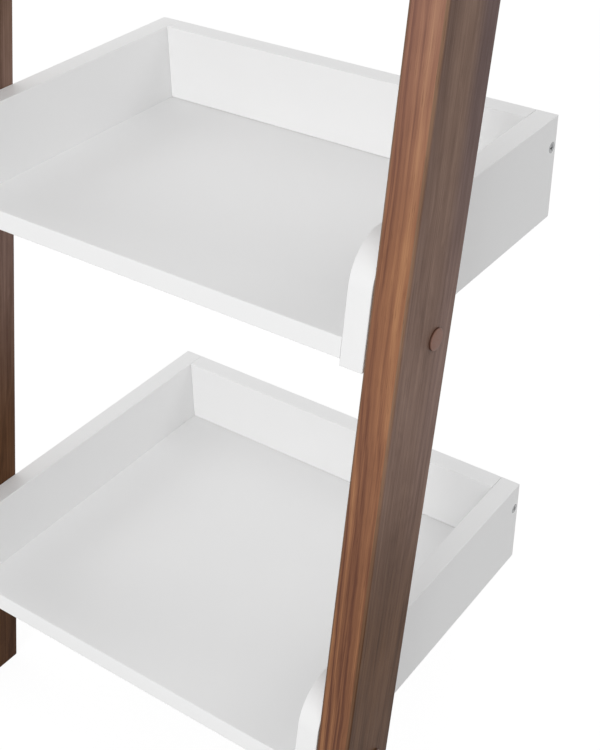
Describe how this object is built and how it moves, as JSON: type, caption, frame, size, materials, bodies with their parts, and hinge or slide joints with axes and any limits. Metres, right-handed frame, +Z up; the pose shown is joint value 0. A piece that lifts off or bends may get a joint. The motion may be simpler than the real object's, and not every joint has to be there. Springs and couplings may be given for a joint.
{
  "type": "ladder shelf",
  "caption": "Leaning ladder shelf: two dark wooden rails resting on floor and wall, carrying white three-sided trays that get deeper towards the floor.",
  "frame": {"origin": "on the floor, midway across the shelf and midway between the wall and the front of the feet", "axes": "+X across the shelf, +Y towards the wall, +Z up"},
  "size_m": [0.4366, 0.3446, 1.65],
  "materials": {
    "walnut": "dark stained solid wood with lengthwise grain, satin lacquer",
    "white_board": "white faced board, matt, with softened edges",
    "zinc_steel": "bright zinc plate",
    "beech": "bare turned beech",
    "brown_plastic": "smooth brown plastic"
  },
  "bodies": {
    "root": {"left_rail": "walnut", "right_rail": "walnut", "tray_1_floor": "white_board", "tray_2_floor": "white_board", "tray_3_floor": "white_board", "tray_4_floor": "white_board", "tray_1_back": "white_board", "tray_2_back": "white_board", "tray_3_back": "white_board", "tray_4_back": "white_board", "tray_1_left_side": "white_board", "tray_2_left_side": "white_board", "tray_3_left_side": "white_board", "tray_4_left_side": "white_board", "tray_1_right_side": "white_board", "tray_2_right_side": "white_board", "tray_3_right_side": "white_board", "tray_4_right_side": "white_board", "rail_bolts": "zinc_steel", "barrel_nuts": "zinc_steel", "back_screws": "zinc_steel", "cams": "zinc_steel", "cam_bolts": "zinc_steel", "wall_brackets": "zinc_steel", "bracket_screws": "zinc_steel", "rail_dowels": "beech", "floor_dowels": "beech", "back_dowels": "beech", "bolt_caps": "brown_plastic"}
  },
  "joints": []
}
